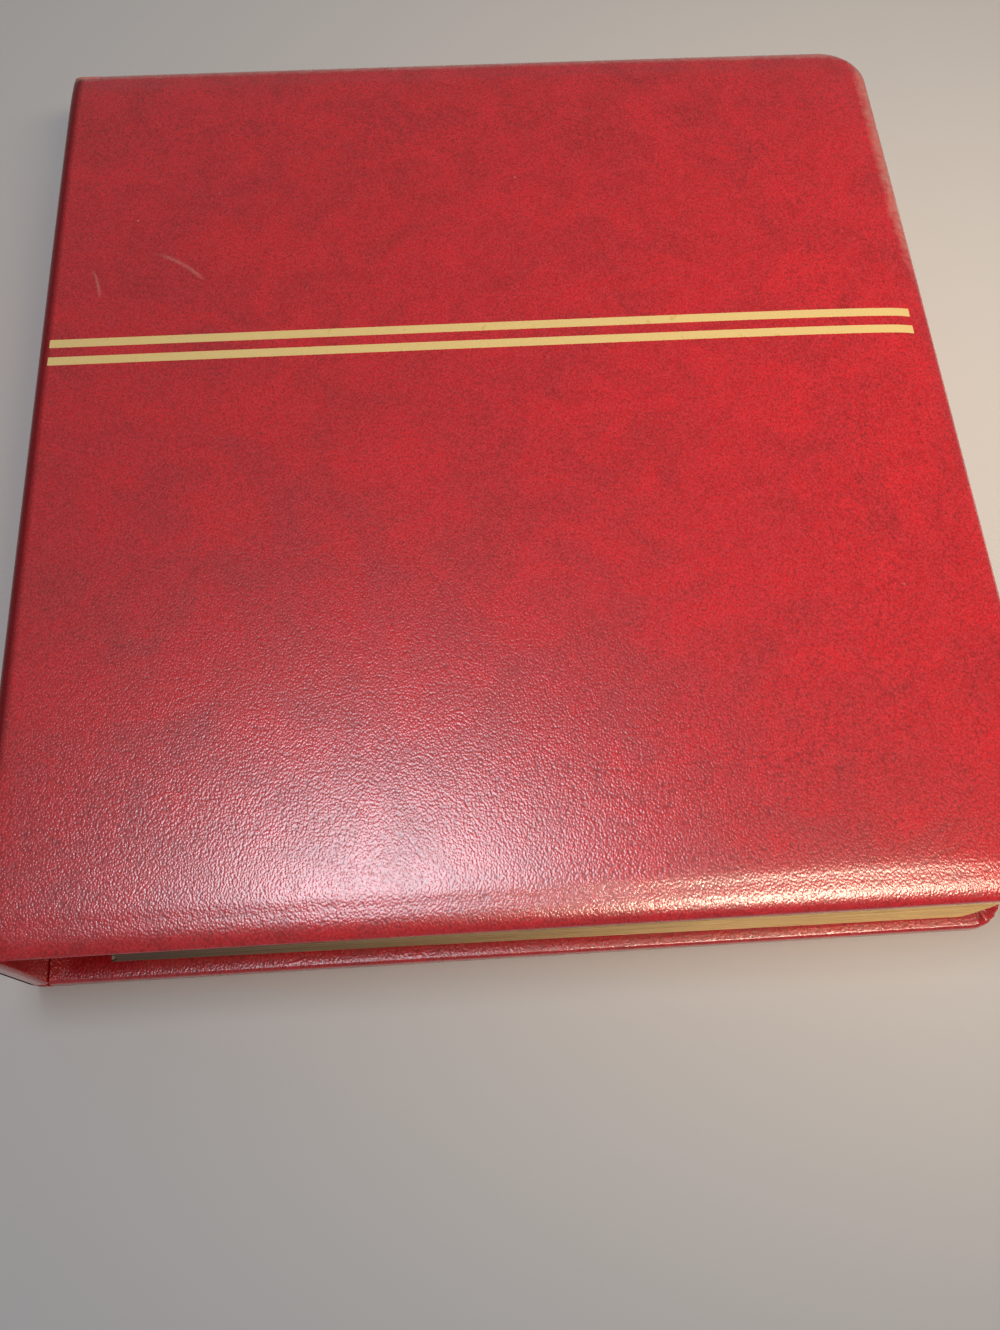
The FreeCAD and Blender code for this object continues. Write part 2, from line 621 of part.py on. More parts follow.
def leaf(label, rank, fan):
    """One leaf: punched card whose binding edge hangs on the rings; rank counts up from the ring centre."""
    body = new_body(label)
    holes = [("hole_margin", "hole_pitch", step, "hole_diameter") for step in RINGS]
    sketch = outline(body, label + "_outline", "leaf_binding_edge", "leaf_width", "leaf_half", "leaf_corner",
                     None, holes)
    pad(body, label + "_pad", sketch, "leaf_thickness", True)
    place_leaf(body, rank, fan, "0", "0", "0")
    return keep(label, body)


def place_leaf(thing, rank, fan, along, across, up):
    """Put a piece on a leaf, in the leaf's own directions."""
    height = "(%g)*binding_fan" % rank
    slope = "atan((%g)*(%s - binding_fan)/leaf_width)" % (rank, fan)
    at_hole = "(%g)*(binding_fan + (%s - binding_fan)*hole_margin/leaf_width)" % (rank, fan)
    edge = "spine_face + ring_level + sqrt(ring_radius^2 - (%s)^2) + hole_shift - hole_margin" % at_hole
    turn = "rotation(vector(0;-1;0); %s)" % slope
    base = "placement(vector(%s; 0; ring_level + %s); %s)" % (edge, height, turn)
    bind(thing, "Placement", base + " * placement(vector(%s; %s; %s); %s)" % (along, across, up, UPRIGHT))


def leaf_block(side, fan, first_number):
    """The leaves above or below the ring centre, each with a blank stamp mount on its upper face."""
    mounts = []
    for order in range(LEAVES_EACH):
        rank = side * (order + 0.5)
        number = first_number - side * order
        leaf("leaf_%02d" % number, rank, fan)
        mount = block("mount", ("mount_width", "mount_height", "mount_thickness"))
        place_leaf(mount, rank, fan, "mount_margin", "-mount_height/2", "leaf_thickness/2")
        mounts.append(mount)
    label = "front_mounts" if side > 0 else "back_mounts"
    keep(label, group(label, mounts))


leaf_block(1, "front_fan", LEAVES_EACH)
leaf_block(-1, "back_fan", LEAVES_EACH + 1)

doc.recompute()
for thing in doc.Objects:
    if "Invalid" in thing.State or "Error" in thing.State:
        raise RuntimeError("%s could not be made" % thing.Label)
os.makedirs("parts", exist_ok=True)
for label, thing in nodes.items():
    shape = thing.Shape
    if shape.isNull() or not shape.isValid() or not shape.Solids:
        raise RuntimeError("%s is not a sound solid" % label)
    shape.exportStep("parts/%s.step" % label)
    print(label, len(shape.Solids), round(shape.Volume / 1000, 2), "cm3")
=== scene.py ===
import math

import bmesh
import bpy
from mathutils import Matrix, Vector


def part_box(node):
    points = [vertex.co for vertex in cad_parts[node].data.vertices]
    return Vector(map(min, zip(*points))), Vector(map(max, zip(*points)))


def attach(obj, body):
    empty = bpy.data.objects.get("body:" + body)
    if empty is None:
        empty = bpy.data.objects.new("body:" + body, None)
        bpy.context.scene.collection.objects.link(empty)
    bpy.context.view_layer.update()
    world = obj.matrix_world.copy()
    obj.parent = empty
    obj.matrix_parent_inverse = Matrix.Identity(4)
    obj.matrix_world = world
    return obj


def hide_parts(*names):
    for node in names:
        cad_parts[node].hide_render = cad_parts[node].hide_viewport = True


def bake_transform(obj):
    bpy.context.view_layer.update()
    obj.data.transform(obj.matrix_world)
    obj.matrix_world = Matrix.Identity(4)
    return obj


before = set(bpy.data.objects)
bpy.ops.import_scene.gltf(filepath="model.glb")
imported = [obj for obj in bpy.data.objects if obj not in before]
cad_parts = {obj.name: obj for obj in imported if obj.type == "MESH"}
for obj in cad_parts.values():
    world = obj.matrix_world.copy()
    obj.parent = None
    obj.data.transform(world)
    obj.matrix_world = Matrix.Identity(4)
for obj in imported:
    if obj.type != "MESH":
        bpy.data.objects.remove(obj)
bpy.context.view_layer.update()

# %% [markdown]
# # A padded stamp album
# The album is a ring binder. Its front cover, spine and back cover are grey board wrapped in red
# leatherette, the front one over a foam pad, and gilt-edged leaves hang on three rings inside. The packed
# model gives the place and size of every piece. This lesson models the soft and worn surfaces and gives
# each one its finish.

MM = 0.001
NEAR = 0.01 * MM
SPINE_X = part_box("spine_skin")[0].x
FORE_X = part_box("front_skin")[1].x
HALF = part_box("front_skin")[1].y
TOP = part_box("front_skin")[1].z
FRONT_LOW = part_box("front_skin")[0].z
BACK_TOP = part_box("back_skin")[1].z
print("cover", round((FORE_X - SPINE_X) / MM, 1), "x", round(2 * HALF / MM, 1), "mm,",
      "thickness", round(TOP / MM, 1), "mm")

# %% [markdown]
# ## The camera
# The album is seen from above its tail edge, close by, so the edges run together strongly towards the
# head. The camera's place and turn come from the straight cover edges; a free camera with a plain matrix
# is the simplest way to set both.

# %% Camera
FRAME_WIDE, FRAME_TALL = 1000, 1330
FOCAL_PIXELS = 1124
VIEW_FROM = Vector((-14.6, -192.03, 317.6)) * MM
VIEW_ALONG = Vector((0.03602, 0.3888, -0.92062)).normalized()
VIEW_RIGHT = Vector((0.99802, -0.06147, 0.0131)).normalized()

camera = bpy.data.objects.new("album_camera", bpy.data.cameras.new("album_camera"))
bpy.context.scene.collection.objects.link(camera)
camera.data.sensor_width = 36
camera.data.lens = FOCAL_PIXELS * camera.data.sensor_width / max(FRAME_WIDE, FRAME_TALL)
camera.data.clip_start = 10 * MM
view_up = VIEW_RIGHT.cross(VIEW_ALONG).normalized()
turn = Matrix((VIEW_RIGHT, view_up, -VIEW_ALONG)).transposed()
camera.matrix_world = Matrix.Translation(VIEW_FROM) @ turn.to_4x4()
bpy.context.scene.camera = camera
print("lens", round(camera.data.lens, 1), "mm")

# %% [markdown]
# ## Working by hand
# An operator acts on whatever is selected, so each step starts with nothing selected, and parts of a mesh
# are then picked by their place. These small helpers do that, apply modifiers and set the shading.

# %% Selecting
def free():
    """Nothing selected, in object mode."""
    if bpy.context.object and bpy.context.object.mode != "OBJECT":
        bpy.ops.object.mode_set(mode="OBJECT")
    bpy.ops.object.select_all(action="DESELECT")


def middle(part):
    """The middle of a vertex, an edge or a face."""
    if isinstance(part, bmesh.types.BMVert):
        return part.co
    return sum((vert.co for vert in part.verts), Vector()) / len(part.verts)


def pick(test, kind="FACE"):
    """In edit mode, select only the parts of one kind whose middle passes the test."""
    bpy.ops.mesh.select_mode(type=kind)
    bpy.ops.mesh.select_all(action="DESELECT")
    mesh = bmesh.from_edit_mesh(bpy.context.edit_object.data)
    found = 0
    for part in {"FACE": mesh.faces, "EDGE": mesh.edges, "VERT": mesh.verts}[kind]:
        if test(middle(part), part):
            part.select_set(True)
            found += 1
    mesh.select_flush_mode()
    bmesh.update_edit_mesh(bpy.context.edit_object.data)
    return found


def choose(piece):
    """Make a piece the only selected one, in object mode."""
    free()
    piece.select_set(True)
    bpy.context.view_layer.objects.active = piece


def open_piece(piece):
    """Choose a piece and go into edit mode."""
    choose(piece)
    bpy.ops.object.mode_set(mode="EDIT")


def apply_all(piece):
    """Apply every modifier of a piece, in order."""
    choose(piece)
    for name in [modifier.name for modifier in piece.modifiers]:
        bpy.ops.object.modifier_apply(modifier=name)


def smooth_under(piece, degrees):
    """Shade a piece smooth, except over edges that are sharper than an angle."""
    choose(piece)
    bpy.ops.object.shade_smooth_by_angle(angle=math.radians(degrees))


# %% [markdown]
# ## A cover board in its wrapper
# Both covers start the same way: a slab with two round corners at the fore edge. A plane is stretched to
# the cover's outline, extruded to its thickness, and its two upright fore-edge corners are bevelled
# round. The bevel's steps are even, so insets run round the corners in even rays.

# %% Cover slab
CORNER = 14 * MM
BACK_CORNER = 10 * MM
CORNER_STEPS = 14
CREASE = 3 * MM
STRIP_END = 9 * MM


def cover_slab(name, left, low, high, corner):
    """A slab with round fore-edge corners, left open in edit mode."""
    free()
    bpy.ops.mesh.primitive_plane_add(size=1, location=((left + FORE_X) / 2, 0, low))
    slab = bpy.context.object
    slab.name = slab.data.name = name
    slab.scale = (FORE_X - left, 2 * HALF, 1)
    bpy.ops.object.transform_apply(location=True, rotation=True, scale=True)
    open_piece(slab)
    bpy.ops.mesh.select_all(action="SELECT")
    bpy.ops.mesh.extrude_region_move(TRANSFORM_OT_translate={"value": (0, 0, high - low)})
    pick(lambda spot, edge: spot.x > FORE_X - NEAR and abs(spot.z - (low + high) / 2) < NEAR, "EDGE")
    bpy.ops.mesh.bevel(offset=corner, segments=CORNER_STEPS, affect="EDGES")
    bpy.ops.mesh.select_all(action="SELECT")
    bpy.ops.mesh.normals_make_consistent(inside=False)
    return slab


# %% [markdown]
# ## The padded front cover
# Foam lifts the leatherette of the front cover, and the wrapper is pulled tight over the board's edges,
# so the cover is flat in the middle and rolls down to its edges. A cloth simulation gives that: the
# slab's edge is held, pressure lifts its upper face, and the foam's height caps the lift softly. The slab
# runs past the spine while it is lifted, because at the spine the cover stays flat, and is cut to length
# afterwards.

# %% Front slab with a fine upper face
CROWN = 4.2 * MM
OVERRUN = 70 * MM
LOWER_ROUND = 1 * MM
EDGE_RINGS = (0.7, 1.0, 1.4, 2.0, 2.8, 4.0)
CELL = 9 * MM

EDGE_TOP = TOP - CROWN
front_pad = cover_slab("front_pad", SPINE_X - OVERRUN, FRONT_LOW, EDGE_TOP, CORNER)
pick(lambda spot, edge: spot.z < FRONT_LOW + NEAR, "EDGE")
bpy.ops.mesh.bevel(offset=LOWER_ROUND, segments=3, affect="EDGES")
pick(lambda spot, face: spot.z > EDGE_TOP - NEAR)
for width in EDGE_RINGS:
    bpy.ops.mesh.inset(thickness=width * MM)


def cut_across(spots, direction, test):
    """Cut the picked faces by planes through the given places along one direction."""
    for spot in spots:
        pick(test)
        bpy.ops.mesh.bisect(plane_co=direction * spot, plane_no=direction)


def steps_between(low, high, width):
    """Even places between two ends, about a width apart."""
    count = max(1, round((high - low) / width))
    return [low + (high - low) * step / count for step in range(1, count)]


on_top = lambda spot, face: spot.z > EDGE_TOP - NEAR
cut_across(steps_between(SPINE_X - OVERRUN, FORE_X, CELL), Vector((1, 0, 0)), on_top)
cut_across(steps_between(-HALF, HALF, CELL), Vector((0, 1, 0)), on_top)
bpy.ops.object.mode_set(mode="OBJECT")
print("front slab", len(front_pad.data.polygons), "faces")

# %% Lifting the leatherette with cloth pressure
LIFT_STEPS = 20
EVENING = 6
PRESSURE = 6
FACING = 0.9


def lift(piece):
    """Blow the upper face up from its held edge, and return how high each point went."""
    loose = set()
    shape = bmesh.new()
    shape.from_mesh(piece.data)
    for vert in shape.verts:
        if all(face.normal.z > FACING and on_top(middle(face), face) for face in vert.link_faces):
            loose.add(vert.index)
    shape.free()
    held = piece.vertex_groups.new(name="held")
    held.add([vert.index for vert in piece.data.vertices if vert.index not in loose], 1.0, "REPLACE")
    flat = [vert.co.copy() for vert in piece.data.vertices]
    cloth = piece.modifiers.new("foam", "CLOTH")
    cloth.settings.vertex_group_mass = "held"
    cloth.settings.mass = 0.02
    cloth.settings.tension_stiffness = 2
    cloth.settings.compression_stiffness = 2
    cloth.settings.shear_stiffness = 1
    cloth.settings.bending_stiffness = 0.05
    cloth.settings.use_pressure = True
    cloth.settings.uniform_pressure_force = PRESSURE
    cloth.settings.effector_weights.gravity = 0
    cloth.collision_settings.use_collision = False
    cloth.point_cache.frame_end = LIFT_STEPS
    scene = bpy.context.scene
    for step in range(1, LIFT_STEPS + 1):
        scene.frame_set(step)
    apply_all(piece)
    scene.frame_set(1)
    rise = [max(0, vert.co.z - flat[vert.index].z) if vert.index in loose else 0
            for vert in piece.data.vertices]
    for vert in piece.data.vertices:
        vert.co = flat[vert.index]
    piece.vertex_groups.clear()
    around = {index: [] for index in loose}
    for edge in piece.data.edges:
        for one, other in (tuple(edge.vertices), tuple(reversed(edge.vertices))):
            if one in loose:
                around[one].append(other)
    for _ in range(EVENING):
        evened = list(rise)
        for index, others in around.items():
            evened[index] = (rise[index] + sum(rise[other] for other in others) / len(others)) / 2
        rise = evened
    return rise


rise = lift(front_pad)

# %% Capping the lift at the foam's height
ROLL_PLACE = 7 * MM
ROLL_DROP = 1.45 * MM
ROLL_BAND = 1.5 * MM
MID_BAND = 20 * MM
SOFTNESS = 0.72
near_edge = [rise[vert.index] for vert in front_pad.data.vertices
             if rise[vert.index] > 0 and abs(vert.co.y) < MID_BAND
             and abs(FORE_X - ROLL_PLACE - vert.co.x) < ROLL_BAND]
roll_rise = sum(near_edge) / len(near_edge)
push = -math.log(ROLL_DROP / CROWN)
for vert in front_pad.data.vertices:
    vert.co.z += CROWN * (1 - math.exp(-push * (rise[vert.index] / roll_rise) ** SOFTNESS))
print("lifted", round(max(rise) / MM, 1), "mm free, capped at", round(CROWN / MM, 1), "mm")

# %% Smoothing the pad and cutting it at the crease
SKIN = 0.8 * MM
TONGUE_END = 4.4 * MM
SHARP_COVER = 40


def add_tongue(low, high):
    """Run part of a cover's end on under the crease strip, as far as the spine."""
    at_end = lambda spot, face: abs(spot.x - SPINE_X - STRIP_END) < NEAR and abs(face.normal.x) > FACING
    for level in (low, high):
        pick(at_end)
        bpy.ops.mesh.bisect(plane_co=(0, 0, level), plane_no=(0, 0, 1))
    pick(lambda spot, face: at_end(spot, face) and low < spot.z < high)
    bpy.ops.mesh.extrude_region_move(TRANSFORM_OT_translate={"value": (TONGUE_END - STRIP_END, 0, 0)})


smooth = front_pad.modifiers.new("smooth", "SUBSURF")
smooth.levels = smooth.render_levels = 1
apply_all(front_pad)
open_piece(front_pad)
bpy.ops.mesh.select_all(action="SELECT")
bpy.ops.mesh.bisect(plane_co=(SPINE_X + STRIP_END, 0, 0), plane_no=(1, 0, 0), clear_inner=True,
                    use_fill=True)
add_tongue(FRONT_LOW, EDGE_TOP - SKIN)
smooth_under(front_pad, SHARP_COVER)
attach(front_pad, "front_cover")
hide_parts("front_skin", "front_foam", "front_board")
print("front pad", len(front_pad.data.polygons), "faces")

# %% [markdown]
# ## The back cover
# The back cover has no foam: its leatherette is drawn flat over the board and rounded by a millimetre at
# the edges. At the two round corners the spare leatherette of the turn-in is gathered into small pleats,
# which are pressed into the inner face here as shallow V grooves. Each groove lies along a ray of the
# corner, so lowering the points on that ray is enough.

# %% Back slab and its pleats
PLEAT_TURNS = (3, 6, 8, 11)
PLEAT_DEPTH = 0.9 * MM
PLEAT_REACH = 9 * MM
ON_RAY = 0.01
BACK_RINGS = (2.0, 3.0, 4.0)


def press_pleats(level, depth):
    """Press grooves into a turn-in along some of the rays of its round corners."""
    for side in (-1, 1):
        centre = Vector((FORE_X - BACK_CORNER, side * (HALF - BACK_CORNER), level))
        rays = [math.radians(90 * turn / CORNER_STEPS) for turn in PLEAT_TURNS]

        def on_ray(spot, vert):
            away = spot - centre
            if abs(spot.z - level) > 1.2 * LOWER_ROUND or away.x < -NEAR or side * away.y < -NEAR:
                return False
            angle = math.atan2(side * away.y, away.x)
            off_ray = min(abs(angle - ray) for ray in rays)
            return away.length > BACK_CORNER - PLEAT_REACH and off_ray < ON_RAY

        pick(on_ray, "VERT")
        bpy.ops.transform.translate(value=(0, 0, depth))


back_wrap = cover_slab("back_wrap", SPINE_X + STRIP_END, 0, BACK_TOP, BACK_CORNER)
pick(lambda spot, edge: spot.x > SPINE_X + STRIP_END + NEAR and min(spot.z, BACK_TOP - spot.z) < NEAR,
     "EDGE")
bpy.ops.mesh.bevel(offset=LOWER_ROUND, segments=4, affect="EDGES")
pick(lambda spot, face: spot.z > BACK_TOP - NEAR)
for width in BACK_RINGS:
    bpy.ops.mesh.inset(thickness=width * MM)
press_pleats(BACK_TOP, -PLEAT_DEPTH)
add_tongue(SKIN, BACK_TOP)
smooth_under(back_wrap, SHARP_COVER)
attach(back_wrap, "back_cover")
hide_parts("back_skin")
print("back wrap", len(back_wrap.data.polygons), "faces")

# %% [markdown]
# ## The spine and its two creases
# The leatherette of the spine runs on over both creases to the covers. On the album it is one sheet, which
# bends when a cover opens; here it is built as the spine's wrap and two crease strips. The spine itself is
# a plain wrapped board.

# %% Spine
SPINE_INSIDE = 4.1 * MM
STRIP_ON_SPINE = 6 * MM
BOARD_END = 3.5 * MM
END_CUTS = (0.7, 1.7, 3.1, 5.1, 8, 12, 18, 26, 36, 50, 70, 100)
CUT_SLACK = 0.3 * MM
cut_end = sorted((abs(vert.co.y), vert.co.z) for vert in front_pad.data.vertices
                 if abs(vert.co.x - SPINE_X - STRIP_END) < NEAR and vert.co.z > EDGE_TOP - CUT_SLACK)


def crown_at(across):
    """The height of the pad's cut end at a distance from mid height."""
    for (near, low), (far, high) in zip(cut_end, cut_end[1:]):
        if near <= across <= far and far > near:
            return low + (high - low) * (across - near) / (far - near)
    return cut_end[0][1] if across < cut_end[0][0] else cut_end[-1][1]


def follow_crown(piece):
    """Lower a piece's upper ends, so that the pad's roll at head and tail runs on to the spine."""
    open_piece(piece)
    everywhere = lambda spot, face: True
    cuts = [side * (HALF - width * MM) for width in END_CUTS for side in (-1, 1)]
    cut_across(cuts, Vector((0, 1, 0)), everywhere)
    bpy.ops.object.mode_set(mode="OBJECT")
    foot = TOP - STRIP_ON_SPINE
    for vert in piece.data.vertices:
        if vert.co.z > foot:
            vert.co.z = foot + (vert.co.z - foot) * (crown_at(abs(vert.co.y)) - foot) / STRIP_ON_SPINE


free()
bpy.ops.mesh.primitive_cube_add(size=1, location=(SPINE_X + (SKIN + SPINE_INSIDE) / 2, 0, TOP / 2))
spine_wrap = bpy.context.object
spine_wrap.name = spine_wrap.data.name = "spine_wrap"
spine_wrap.scale = (SPINE_INSIDE - SKIN, 2 * HALF, TOP - 2 * BOARD_END)
bpy.ops.object.transform_apply(location=True, rotation=True, scale=True)
open_piece(spine_wrap)
pick(lambda spot, face: spot.x < SPINE_X + SKIN + NEAR)
bpy.ops.mesh.extrude_region_move(TRANSFORM_OT_translate={"value": (-SKIN, 0, 0)})
narrow = (TOP - 2 * STRIP_ON_SPINE) / (TOP - 2 * BOARD_END)
bpy.ops.transform.resize(value=(1, 1, narrow), center_override=(SPINE_X, 0, TOP / 2))
upright = lambda edge: abs(edge.verts[0].co.z - edge.verts[1].co.z) > SPINE_INSIDE
pick(lambda spot, edge: abs(spot.y) > HALF - NEAR and upright(edge), "EDGE")
bpy.ops.mesh.bevel(offset=LOWER_ROUND, segments=4, affect="EDGES")
follow_crown(spine_wrap)
smooth_under(spine_wrap, SHARP_COVER)
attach(spine_wrap, "spine")
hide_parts("spine_skin", "spine_board")
print("spine", len(spine_wrap.data.polygons), "faces")

# %% Crease strips
FOLD_STEPS = 12
SHARP_STRIP = 50


def crease_strip(name, level, inward):
    """Leatherette from a cover's outer face round the fold to the spine; inward is up or down."""
    free()
    bpy.ops.mesh.primitive_plane_add(size=1, location=(SPINE_X + (CREASE + STRIP_END) / 2, 0, level))
    strip = bpy.context.object
    strip.name = strip.data.name = name
    strip.scale = (STRIP_END - CREASE, 2 * HALF, 1)
    bpy.ops.object.transform_apply(location=True, rotation=True, scale=True)
    open_piece(strip)
    pick(lambda spot, edge: spot.x < SPINE_X + CREASE + NEAR, "EDGE")
    fold = (SPINE_X + CREASE, 0, level + inward * CREASE)
    bpy.ops.mesh.spin(steps=FOLD_STEPS, angle=-inward * math.pi / 2, center=fold, axis=(0, 1, 0))
    pick(lambda spot, edge: abs(spot.x - SPINE_X) < NEAR, "EDGE")
    along_spine = (0, 0, inward * (STRIP_ON_SPINE - CREASE))
    bpy.ops.mesh.extrude_region_move(TRANSFORM_OT_translate={"value": along_spine})
    bpy.ops.mesh.select_all(action="SELECT")
    bpy.ops.mesh.remove_doubles(threshold=NEAR)
    bpy.ops.mesh.normals_make_consistent(inside=False)
    shape = bmesh.from_edit_mesh(strip.data)
    flat_face = max(shape.faces, key=lambda face: middle(face).x)
    if flat_face.normal.z * inward > 0:
        bpy.ops.mesh.flip_normals()
    bpy.ops.object.mode_set(mode="OBJECT")
    if level > 0:
        follow_crown(strip)
    thick = strip.modifiers.new("thickness", "SOLIDIFY")
    thick.thickness = SKIN
    thick.offset = -1
    apply_all(strip)
    smooth_under(strip, SHARP_STRIP)
    return strip


front_crease = crease_strip("front_crease", TOP, -1)
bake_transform(front_crease)
back_crease = crease_strip("back_crease", 0, 1)
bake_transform(back_crease)
for strip in (front_crease, back_crease):
    reach = [(vert.co.x - SPINE_X) / MM for vert in strip.data.vertices]
    print(strip.name, "from", round(min(reach), 2), "to", round(max(reach), 2), "mm")

# %% [markdown]
# ## Gold foil rules
# Two rules are stamped across the front in gold foil, and they run on a little way over the crease. Each
# is cut out of a copy of the pad's upper face by three planes, lifted a hair and given the foil's
# thickness, so it follows the padding exactly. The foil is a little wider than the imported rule.

# %% Foil rules
FOIL = 0.05 * MM
foil_low, foil_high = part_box("foil_rules")
RULE = 2.4 * MM
FOIL_WIDE = 2.9 * MM
RULE_START = 3.6 * MM
UPWARD = 0.2
SHARP_FOIL = 30
rule_middles = (foil_low.y + RULE / 2, foil_high.y - RULE / 2)
rules = []
for middle_y in rule_middles:
    rule = bpy.data.objects.new("foil_rule_%d" % (len(rules) + 1), front_pad.data.copy())
    bpy.context.scene.collection.objects.link(rule)
    open_piece(rule)
    for spot, way in ((Vector((0, middle_y - FOIL_WIDE / 2, 0)), Vector((0, 1, 0))),
                      (Vector((0, middle_y + FOIL_WIDE / 2, 0)), Vector((0, -1, 0))),
                      (Vector((foil_high.x, 0, 0)), Vector((-1, 0, 0)))):
        bpy.ops.mesh.select_all(action="SELECT")
        bpy.ops.mesh.bisect(plane_co=spot, plane_no=way, clear_inner=True)
    pick(lambda spot, face: face.normal.z < UPWARD or spot.x < SPINE_X + STRIP_END)
    bpy.ops.mesh.delete(type="FACE")
    pick(lambda spot, edge: spot.x < SPINE_X + STRIP_END + NEAR, "EDGE")
    bpy.ops.mesh.extrude_region_move(TRANSFORM_OT_translate={"value": (RULE_START - STRIP_END, 0, 0)})
    bpy.ops.mesh.select_all(action="SELECT")
    bpy.ops.transform.shrink_fatten(value=FOIL)
    bpy.ops.object.mode_set(mode="OBJECT")
    thick = rule.modifiers.new("thickness", "SOLIDIFY")
    thick.thickness = FOIL
    thick.offset = -1
    apply_all(rule)
    smooth_under(rule, SHARP_FOIL)
    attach(rule, "front_cover")
    rules.append(rule)
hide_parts("foil_rules")
print("rules at", [round(spot / MM, 1) for spot in rule_middles], "mm from mid height")

# %% [markdown]
# ## Leaves
# Each leaf is a punched card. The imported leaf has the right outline, holes and place, so a copy of its
# mesh is merged, its fore-edge corners are bevelled round, and it is cut into cells, so that its margins
# can take a gentle wave, as old card does. The part under the mount stays flat. The outer edges are kept
# as faces of their own, because they are gilt.

# %% Wavy gilt-edged leaves
LEAF_COUNT = 24
LEAF_CELL = 24 * MM
MOUNT_LOW, MOUNT_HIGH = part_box("front_mounts")
LEAF_CORNER = 4 * MM
WAVE = 0.28 * MM
LONG_WAVE, SHORT_WAVE, SLANT = 62, 131, 40
OWN_WAVE, OWN_ALONG = 88, 70


def wave_at(spot, number, edge_x):
    """How far the margin of a leaf lifts at a place; the waves are in radians per metre."""
    across = (spot.x - MOUNT_HIGH.x - LEAF_CELL) / (FORE_X - MOUNT_HIGH.x - LEAF_CELL)
    along = (abs(spot.y) - MOUNT_HIGH.y - LEAF_CELL) / (HALF - MOUNT_HIGH.y - LEAF_CELL)
    share = min(1, 1.6 * max(across, along, 0)) ** 2 * max(0, (spot.x - edge_x) / (FORE_X - edge_x))
    common = math.sin(spot.x * LONG_WAVE + 1.3) + 0.6 * math.sin(spot.x * SHORT_WAVE + spot.y * SLANT)
    own = math.sin(spot.x * OWN_WAVE + number * 2.4) + math.sin(spot.y * OWN_ALONG + number * 1.7)
    return WAVE * share * (common + 0.3 * own)


def dress_leaf(number):
    """A wavy copy of one packed leaf, with its finishes cleared; its card and gilt slots are given later.
    """
    name = "leaf_%02d" % number
    low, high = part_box(name)
    leaf = bpy.data.objects.new("card_%02d" % number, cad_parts[name].data.copy())
    bpy.context.scene.collection.objects.link(leaf)
    open_piece(leaf)
    bpy.ops.mesh.select_all(action="SELECT")
    bpy.ops.mesh.remove_doubles(threshold=NEAR)
    pick(lambda spot, edge: spot.x > high.x - MM and abs(spot.y) > high.y - NEAR
         and edge.calc_length() < MM, "EDGE")
    bpy.ops.mesh.bevel(offset=LEAF_CORNER, segments=5, affect="EDGES")
    everywhere = lambda spot, face: True
    cut_across(steps_between(low.x, high.x, LEAF_CELL), Vector((1, 0, 0)), everywhere)
    cut_across(steps_between(low.y, high.y, LEAF_CELL), Vector((0, 1, 0)), everywhere)
    bpy.ops.object.mode_set(mode="OBJECT")
    for vert in leaf.data.vertices:
        vert.co.z += wave_at(vert.co, number, low.x)
    leaf.data.materials.clear()
    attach(leaf, "front_leaves" if number <= LEAF_COUNT // 2 else "back_leaves")
    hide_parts(name)
    return leaf


leaves = [dress_leaf(number) for number in range(1, LEAF_COUNT + 1)]
print(len(leaves), "leaves,", sum(len(leaf.data.polygons) for leaf in leaves), "faces")

# %% [markdown]
# ## Finishes
# Every finish is worked out by nodes from places in the object, in metres, so a pattern's scale is one
# over its size. Colours are written as sRGB hex and turned to linear by one function. One small function
# adds a node with its settings and its links, and a link may name a node instead of its first output.

# %% Tools for finishes
def colour(code):
    """An sRGB hex value as linear red, green, blue and alpha."""
    parts = [int(code[place:place + 2], 16) / 255 for place in (1, 3, 5)]
    return [part / 12.92 if part <= 0.04045 else ((part + 0.055) / 1.055) ** 2.4 for part in parts] + [1]


def finish(name, **values):
    """A new material, its node tree and its main shader, with even values on the shader's sockets."""
    made = bpy.data.materials.new(name)
    made.use_nodes = True
    shader = made.node_tree.nodes["Principled BSDF"]
    for socket, number in values.items():
        shader.inputs[socket].default_value = number
    return made, made.node_tree, shader


def join(tree, node, links):
    """Give each input of a node a value, an output of another node, or the first output of another node."""
    for socket, source in links.items():
        if isinstance(source, bpy.types.Node):
            source = next(output for output in source.outputs if output.enabled)
        if isinstance(source, bpy.types.NodeSocket):
            tree.links.new(source, node.inputs[socket])
        else:
            node.inputs[socket].default_value = source


def add(tree, kind, links=None, stops=(), **settings):
    """Add a node with its settings and links; stops are the places and colours of a colour ramp."""
    made = tree.nodes.new("ShaderNode" + kind)
    for name, setting in settings.items():
        setattr(made, name, setting)
    for number, (spot, code) in enumerate(stops):
        made.color_ramp.elements[number].position = spot
        made.color_ramp.elements[number].color = colour(code)
    join(tree, made, links or {})
    return made


def per_metre(size_mm):
    """A texture scale for a pattern of the given size."""
    return 1 / (size_mm * MM)


# %% [markdown]
# ### Embossed leatherette
# The wrapper is cotton-backed PVC, embossed with a pebble grain of about half a millimetre. Its print is a
# cloudy red with a fine network of lighter veins, and the dips between the pebbles are darker. It has a
# satin shine. Noise of two sizes gives the clouds and the veins. Voronoi cells give the pebble, because
# each cell is one rounded grain.

